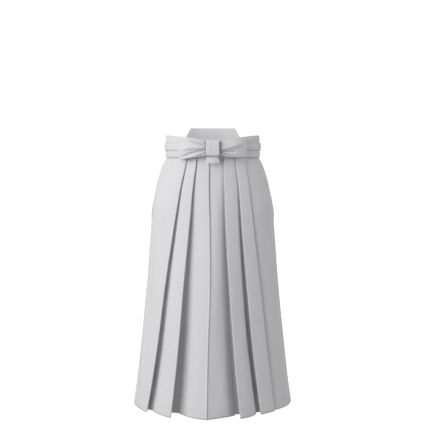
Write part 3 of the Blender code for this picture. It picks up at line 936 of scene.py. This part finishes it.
@dataclass
class InnerLegs:
    """The inner legs and the crotch gusset between them."""

    split: float = 0.010
    bow_top: float = 0.030
    bow_hem: float = 0.016
    steps: int = 24
    rings: int = 22

    def line(self, section: Section, hand: Hand) -> list[Point]:
        """Trace one inner leg from the front's hidden edge to the back's middle seam."""
        front = Outline(section.half_width, section.front)
        back = Outline(section.half_width, section.back, Side.BACK)
        centre = Pleat(CENTRE, section, front)
        butt = CAD_WALL / 2 + SEAM
        start = centre.hidden_edge() if hand is Hand.RIGHT else centre.hidden_start()
        start = start + (CAD_WALL, butt)
        depth = Pleat(BACK, section, back).step + butt
        end = back.point(0.0, -depth) + (hand.value * self.split / 2, 0.0)
        bow = blend(self.bow_top, self.bow_hem, smooth((section.drop - CROTCH_DROP) / (HEM_DROP - CROTCH_DROP)))
        shares = [step / self.steps for step in range(self.steps + 1)]
        return [blend(start, end, share) + (hand.value * bow * sin(pi * share), 0.0) for share in shares]

    def leg(self, name: str, hand: Hand) -> Sheet:
        """Lay one inner leg."""
        drops = [blend(CROTCH_DROP, HEM_DROP, ring / self.rings) for ring in range(self.rings + 1)]
        rows = [
            [(place[0], place[1], BAND_FOOT - drop) for place in self.line(section_at(drop), hand)]
            for drop in drops
        ]
        return Sheet(name, rows, [[drop] * len(row) for drop, row in zip(drops, rows)])

    def gusset(self, finish: ClothFinish) -> bpy.types.Object:
        """Lay the leaf of cloth over the tops of both inner legs."""
        section = section_at(CROTCH_DROP)
        right, left = self.line(section, Hand.RIGHT), self.line(section, Hand.LEFT)
        height = BAND_FOOT - CROTCH_DROP + CAD_WALL + SEAM + 0.001
        rows = []
        for index, (first, last) in enumerate(zip(right, left)):
            share = index / (len(right) - 1)
            trim = 0.0012 * (1.0 - 2.0 * share)
            row = []
            for step in range(9):
                place = blend(first, last, step / 8) + (0.0, trim)
                rise = 0.0035 * sin(pi * share) * sin(pi * step / 8)
                row.append((place[0], place[1], height + rise))
            rows.append(row)
        return Sheet("crotch_gusset_cloth", rows, [[row[0][1]] * len(row) for row in rows]).build(finish)

    def build(self, finish: ClothFinish) -> None:
        """Build both inner legs and the gusset, and let them stand for their solids."""
        right = self.leg("inner_leg_right_cloth", Hand.RIGHT).build(finish)
        seat(right, ["inner_leg_right"], (0.39, 0.45), "hung")
        left = self.leg("inner_leg_left_cloth", Hand.LEFT).build(finish)
        seat(left, ["inner_leg_left"], (0.40, 0.45), "hung")
        seat(self.gusset(finish), ["crotch_gusset"], (0.075, 0.36), "stretched", area=0.019)


@dataclass(frozen=True)
class Band:
    """One tied band: its height and how far out it lies in front and at the back."""

    foot: float
    top: float
    offset: float
    back_offset: float
    side_rise: float = 0.0


@dataclass
class TiedBands:
    """The waistband and the wraps of the ties, each two layers of cloth folded flat."""

    waistband: Band = Band(0.0065, 0.0205, 0.0021, -0.0100, 0.0205)
    lower: Band = Band(-0.0430, -0.0145, 0.0034, -0.0100)
    outer: Band = Band(-0.0165, 0.0140, 0.0070, 0.0070)
    bulge: float = 0.0022
    steps: int = 144
    levels: int = 12
    tie_end: float = pi - 0.98

    def line(self, band: Band, angles: Sequence[float], fullness: float, share: float) -> list[Point]:
        """Trace a band's middle line at the given angles."""
        section = section_at(-0.040)
        front = Outline(section.half_width + CAD_WALL / 2, section.front + CAD_WALL / 2)
        back = Outline(section.half_width + CAD_WALL / 2, section.back + CAD_WALL / 2, Side.BACK)
        line = []
        for angle in angles:
            arc, turn = (front, angle) if cos(angle) >= 0.0 else (back, pi - angle)
            inside = smooth((abs(angle) - 1.52) / 0.60)
            offset = blend(band.offset, band.back_offset, inside)
            bulge = self.bulge * fullness if offset > 0.0 else 0.0
            line.append(arc.point(turn, offset + bulge + self.wrinkle(angle, share, band)))
        return line

    @staticmethod
    def wrinkle(angle: float, share: float, band: Band) -> float:
        """Give the soft drag lines that run along a band and fade towards its edges."""
        phase = band.foot * 90.0
        along = sin(3.0 * angle + 5.0 * share + phase) * sin(7.0 * angle - 3.0 * share + 2.0 * phase)
        return 0.0007 * along * sin(pi * share)

    def sheet(self, name: str, band: Band, angles: Sequence[float], closed: bool) -> Sheet:
        """Lay one band."""
        rows, downs = [], []
        for level in range(self.levels + 1):
            share = level / self.levels
            line = self.line(band, angles, sin(pi * share) ** 0.7, share)
            row = []
            for place, angle in zip(line, angles):
                aside = abs(sin(angle))
                steps = 0.58 * smooth((aside - 0.435) / 0.045) + 0.42 * smooth((aside - 0.46) / 0.54)
                rise = band.side_rise * share * steps
                drag = 0.0006 * sin(4.0 * angle + band.foot * 200.0)
                row.append((place[0], place[1], blend(band.foot, band.top, share) + rise + drag))
            rows.append(row)
            downs.append([share * (band.top - band.foot)] * len(row))
        return Sheet(name, rows, downs, closed, 0.0022)

    def build(self, finish: ClothFinish) -> None:
        round_angles = [-pi + 2 * pi * step / self.steps for step in range(self.steps)]
        tie_angles = [blend(-self.tie_end, self.tie_end, step / 110) for step in range(111)]
        waistband = self.sheet("waistband_cloth", self.waistband, round_angles, True).build(finish)
        seat(waistband, ["front_waistband"], (0.94, 0.029), "stretched")
        lower = self.sheet("lower_wrap_cloth", self.lower, round_angles, True).build(finish)
        seat(lower, ["lower_tie_wrap"], (0.95, 0.029), "stretched")
        outer = self.sheet("outer_wrap_cloth", self.outer, tie_angles, False).build(finish)
        seat(outer, ["outer_tie_wrap"], (0.70, 0.031), "stretched")


@dataclass
class BackBoard:
    """The stiff board at the back of the waist, covered with the same cloth."""

    foot: float = -0.0180
    top: float = 0.0740
    foot_angle: float = 0.88
    top_half_width: float = 0.085
    wall: float = 0.0034

    def build(self, finish: ClothFinish) -> None:
        section = section_at(-0.040)
        arc = Outline(section.half_width, section.back, Side.BACK)
        foot_reach = arc.half_width * sin(self.foot_angle)
        rows, downs = [], []
        for level in range(15):
            share = level / 14
            reach = blend(foot_reach, self.top_half_width, share)
            offset = CAD_WALL / 2 + SEAM + self.wall / 2 + 0.0012 + 0.004 * share
            height = blend(self.foot, self.top, share)
            angles = [arc.angle_at(blend(-reach, reach, step / 40)) for step in range(41)]
            row = [(*arc.point(angle, offset), height) for angle in angles]
            rows.append(row)
            downs.append([share * (self.top - self.foot)] * len(row))
        board = Sheet("back_board_cloth", rows, downs, False, self.wall).build(finish)
        soft = board.modifiers.new("soft_edges", "BEVEL")
        soft.width = 0.0012
        soft.segments = 3
        seat(board, ["back_board"], (0.29, 0.092), "stretched", area=0.0215)


@dataclass(frozen=True)
class LoopShape:
    """One loop of the bow: its lower and upper edges along its reach, and its creases."""

    foot: tuple[float, ...]
    top: tuple[float, ...]
    creases: tuple[LoopCrease, ...]


LOOP_REACHES = (0.0, 0.3, 0.6, 0.85, 1.0)
RIGHT_LOOP = LoopShape(
    foot=(-0.0345, -0.0400, -0.0440, -0.0475, -0.0460),
    top=(0.0195, 0.0255, 0.0275, 0.0190, 0.0100),
    creases=(
        LoopCrease(0.02, 0.62, 0.62, 0.84, 0.0026, 0.0036, -0.0066),
        LoopCrease(0.05, 0.80, 0.50, 0.96, 0.0030, 0.0050, 0.0020),
        LoopCrease(0.02, 0.48, 0.90, 0.52, 0.0090, 0.0050, 0.0056),
        LoopCrease(0.02, 0.36, 0.92, 0.12, 0.0036, 0.0045, -0.0072),
        LoopCrease(0.06, 0.22, 0.55, 0.04, 0.0022, 0.0030, 0.0030),
        LoopCrease(0.04, 0.14, 0.30, 0.02, 0.0020, 0.0022, -0.0028),
    ),
)
LEFT_LOOP = LoopShape(
    foot=(-0.0345, -0.0385, -0.0405, -0.0410, -0.0400),
    top=(0.0195, 0.0235, 0.0262, 0.0275, 0.0265),
    creases=(
        LoopCrease(0.02, 0.42, 0.98, 0.74, 0.0160, 0.0060, 0.0062),
        LoopCrease(0.03, 0.30, 0.62, 0.30, 0.0022, 0.0030, -0.0076),
        LoopCrease(0.04, 0.24, 0.52, 0.12, 0.0026, 0.0030, 0.0028),
        LoopCrease(0.04, 0.18, 0.56, 0.03, 0.0020, 0.0026, -0.0064),
        LoopCrease(0.03, 0.60, 0.34, 0.66, 0.0022, 0.0022, -0.0022),
        LoopCrease(0.70, 0.40, 0.99, 0.10, 0.0060, 0.0060, -0.0016),
    ),
)
LOOP_SHAPES = {Hand.RIGHT: RIGHT_LOOP, Hand.LEFT: LEFT_LOOP}


@dataclass
class Bow:
    """The ties' knot, its two wide flat loops and the end that hangs below."""

    back: float = 0.1366
    knot_half_width: float = 0.0250
    knot_front: float = 0.1665
    knot_foot: float = -0.0385
    knot_top: float = 0.0205
    loop_reach: float = 0.1250
    loop_depth: float = 0.0150
    loop_levels: int = 44
    loop_steps: int = 44
    tail_foot: float = -0.0636
    tail_half_width: float = 0.0240

    def knot(self, finish: ClothFinish) -> bpy.types.Object:
        """Wrap the knot: one turn of the tie, drawn over the bands from top to foot."""
        rows, downs = [], []
        middle_y, half_depth = -(self.knot_front + self.back) / 2, (self.knot_front - self.back) / 2
        middle_z, half_height = (self.knot_top + self.knot_foot) / 2, (self.knot_top - self.knot_foot) / 2
        for step in range(25):
            across = blend(-1.0, 1.0, step / 24)
            row = []
            for turn in range(56):
                angle = 2.0 * pi * turn / 56
                out, up = cos(angle), sin(angle)
                out = np.sign(out) * abs(out) ** 0.42
                up = np.sign(up) * abs(up) ** 0.36
                edge = 1.0 - 0.10 * abs(across) ** 6
                dent = 0.0012 * hump((across + 0.04) / 0.10) if out > 0.0 else 0.0
                dent += 0.0006 * hump((across - 0.55) / 0.16) * (0.5 + 0.5 * up) if out > 0.0 else 0.0
                x = self.knot_half_width * across * (1.0 - 0.03 * up * up * (up > 0.0))
                y = middle_y - out * (half_depth - 0.0013) * edge + dent
                z = middle_z + up * (half_height - 0.0013) * (1.0 - 0.02 * across * across)
                row.append((x, y, z))
            rows.append(row)
            downs.append([across * self.knot_half_width] * len(row))
        return Sheet("knot_cloth", rows, downs, True, 0.0022).build(finish)

    def loop_line(self) -> list[tuple[float, bool, Point]]:
        """Trace the left loop from above: out along the bands, round its end and back to the knot.

        Returns:
            For each place its share of the reach, whether it lies in front, and the place in plan.
        """
        section = section_at(-0.040)
        arc = Outline(section.half_width, section.front)
        back_offset = self.back - section.front + 0.0018
        start = self.knot_half_width + 0.0012
        inner, outer = [], []
        for step in range(self.loop_steps + 1):
            share = step / self.loop_steps
            angle = arc.angle_at(blend(start, self.loop_reach - 0.007, share) * 0.93)
            spread = self.loop_depth * (0.62 + 0.38 * sin(pi * share * 0.85))
            inner.append((share, False, arc.point(angle, back_offset)))
            outer.append((share, True, arc.point(angle, back_offset + spread)))
        last_in, last_out = inner[-1][2], outer[-1][2]
        middle, arm = (last_in + last_out) / 2, (last_in - last_out) / 2
        turn = [(1.0, step > 5, middle + rotated(arm, -pi * step / 10)) for step in range(1, 10)]
        return inner + turn + outer[::-1]

    def loop(self, name: str, hand: Hand, finish: ClothFinish) -> bpy.types.Object:
        """Lay one loop, drawn in at the knot with creases that run out from it."""
        shape = LOOP_SHAPES[hand]
        line = self.loop_line()
        rows, downs = [], []
        for level in range(self.loop_levels + 1):
            share = level / self.loop_levels
            row = []
            for reach, in_front, place in line:
                foot = curve_through(LOOP_REACHES, shape.foot, reach)
                top = curve_through(LOOP_REACHES, shape.top, reach)
                out = 0.0026 * sin(pi * share) + self.relief(reach, share, shape.creases)
                moved = place + np.array((0.0, -out if in_front else 0.0))
                row.append((moved[0] * hand.value, moved[1], blend(foot, top, share)))
            rows.append(row)
            downs.append([share * 0.067] * len(row))
        return Sheet(name, rows, downs, False, 0.0018).build(finish)

    @staticmethod
    def relief(reach: float, share: float, creases: Sequence[LoopCrease]) -> float:
        """Give how far the front of a loop stands out at a place for all its creases."""
        out = 0.0
        for crease in creases:
            run = (reach - crease.start_reach) / (crease.end_reach - crease.start_reach)
            if -0.15 < run < 1.15:
                aside = (share - blend(crease.start_share, crease.end_share, run)) * 0.067
                width = crease.above if aside > 0.0 else crease.below
                fade = smooth((run + 0.15) / 0.25) * smooth((1.15 - run) / 0.45)
                out += crease.depth * fade * hump(aside / width)
        return out

    def tail(self, finish: ClothFinish) -> bpy.types.Object:
        """Lay the tie end that hangs below the knot."""
        rows, downs = [], []
        for level in range(13):
            share = level / 12
            half = blend(self.tail_half_width * 0.86, self.tail_half_width, share)
            height = blend(self.knot_foot - 0.0006, self.tail_foot, share)
            row = []
            for step in range(25):
                x = blend(-half, half, step / 24)
                y = -0.1510 - 0.0030 * share + 7.2 * x * x - 0.0009 * hump((x - 0.006) / 0.004) * (1.0 - share)
                row.append((x + 0.0022 * share, y, height))
            rows.append(row)
            downs.append([self.knot_foot - height] * len(row))
        return Sheet("tie_tail_cloth", rows, downs, False, 0.0024).build(finish)

    def build(self, finish: ClothFinish) -> None:
        seat(self.knot(finish), ["knot"], (0.051, 0.16), "folded")
        seat(self.loop("bow_loop_right_cloth", Hand.RIGHT, finish), ["bow_loop_right"], (0.22, 0.066), "folded")
        seat(self.loop("bow_loop_left_cloth", Hand.LEFT, finish), ["bow_loop_left"], (0.22, 0.066), "folded")
        seat(self.tail(finish), ["tie_tail"], (0.049, 0.026), "hung")


@dataclass
class Studio:
    """The pale ground, the soft lights and the camera."""

    floor: float = -0.9975
    floor_reach: float = 4.6
    turn: float = 1.6
    wall_top: float = 6.0
    camera_height: float = -0.044
    camera_distance: float = 3.0
    camera_side: float = 0.00887
    tilt: float = 4.197
    focal: float = 65.14
    ground: StageFinish = StageFinish()

    def sweep(self) -> None:
        """Build the ground: a round floor that rises into a wall all round in one smooth sweep."""
        mesh = bmesh.new()
        places = [(0.02, self.floor), (self.floor_reach, self.floor)]
        for step in range(1, 17):
            angle = pi / 2 * step / 16
            reach = self.floor_reach + self.turn * sin(angle)
            places.append((reach, self.floor + self.turn * (1.0 - cos(angle))))
        places.append((self.floor_reach + self.turn, self.wall_top))
        verts = [mesh.verts.new((reach, 0.0, height)) for reach, height in places]
        edges = [mesh.edges.new(pair) for pair in zip(verts, verts[1:])]
        bmesh.ops.spin(
            mesh, geom=verts + edges, cent=(0, 0, 0), axis=(0, 0, 1), angle=2 * pi, steps=96, use_merge=True
        )
        middle = [edge for edge in mesh.edges if all(hypot(*vert.co.xy) < 0.03 for vert in edge.verts)]
        bmesh.ops.contextual_create(mesh, geom=middle)
        bmesh.ops.recalc_face_normals(mesh, faces=mesh.faces)
        if max(mesh.faces, key=lambda face: -face.calc_center_median().z).normal.z < 0.0:
            bmesh.ops.reverse_faces(mesh, faces=mesh.faces)
        for face in mesh.faces:
            face.smooth = True
        data = bpy.data.meshes.new("studio_ground")
        mesh.to_mesh(data)
        mesh.free()
        ground = bpy.data.objects.new("studio_ground", data)
        data.materials.append(self.ground.material())
        ground.visible_diffuse = False
        bpy.context.scene.collection.objects.link(ground)

    @staticmethod
    def light(name: str, place: Place, aim: Place, size: float, power: float) -> None:
        """Hang one soft square light.

        Args:
            name: the light's name.
            place: where it hangs.
            aim: the place it looks at.
            size: the length of its side.
            power: its power in watts.
        """
        data = bpy.data.lights.new(name, "AREA")
        data.size = size
        data.energy = power
        lamp = bpy.data.objects.new(name, data)
        lamp.location = place
        way = np.array(aim) - np.array(place)
        flat = hypot(way[0], way[1])
        lamp.rotation_euler = (atan2(flat, -way[2]), 0.0, atan2(-way[0], way[1]))
        bpy.context.scene.collection.objects.link(lamp)

    def lights(self) -> None:
        """Hang the key at the left, a weak fill at the right and a soft light overhead."""
        self.light("key", (-2.75, -2.45, 0.9), (0.0, 0.0, -0.45), 3.3, 126.0)
        self.light("fill", (3.8, -1.4, 0.5), (0.0, 0.0, -0.45), 2.0, 42.0)
        self.light("back", (0.4, 3.8, 1.1), (0.0, 0.0, -0.4), 2.6, 84.0)
        self.light("overhead", (-0.4, -0.8, 2.6), (0.0, 0.0, -0.3), 2.0, 10.0)
        world = bpy.data.worlds.new("studio_air")
        world.use_nodes = True
        air = world.node_tree.nodes["Background"].inputs
        air["Color"].default_value = (1.0, 1.0, 1.0, 1.0)
        air["Strength"].default_value = 0.27
        bpy.context.scene.world = world
        bpy.context.scene.view_settings.view_transform = "Standard"

    def camera(self) -> None:
        """Set the camera at the photograph's viewing angle."""
        data = bpy.data.cameras.new("camera")
        data.lens = self.focal
        data.sensor_width = 36.0
        eye = bpy.data.objects.new("camera", data)
        eye.location = (self.camera_side, -self.camera_distance, self.camera_height)
        eye.rotation_euler = (radians(90.0 - self.tilt), 0.0, 0.0)
        bpy.context.scene.collection.objects.link(eye)
        bpy.context.scene.camera = eye

    def build(self) -> None:
        """Set up the whole studio."""
        self.camera()
        self.sweep()
        self.lights()


def main() -> None:
    """Dress the frame, piece by piece."""
    logging.basicConfig(level=logging.INFO, format="%(name)s: %(message)s")
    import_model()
    Studio().build()
    hemmed = ClothFinish("panel_cloth", stitch_rows=(HEM_FOLD_DROP + 0.002, HEM_LINE_DROP))
    plain = ClothFinish("plain_cloth")
    tie = ClothFinish("tie_cloth", stitch_rows=(0.0025, 0.0265))
    PleatedPanels().build(hemmed)
    InnerLegs().build(hemmed)
    TiedBands().build(tie)
    BackBoard().build(plain)
    Bow().build(plain)


if __name__ == "__main__":
    main()
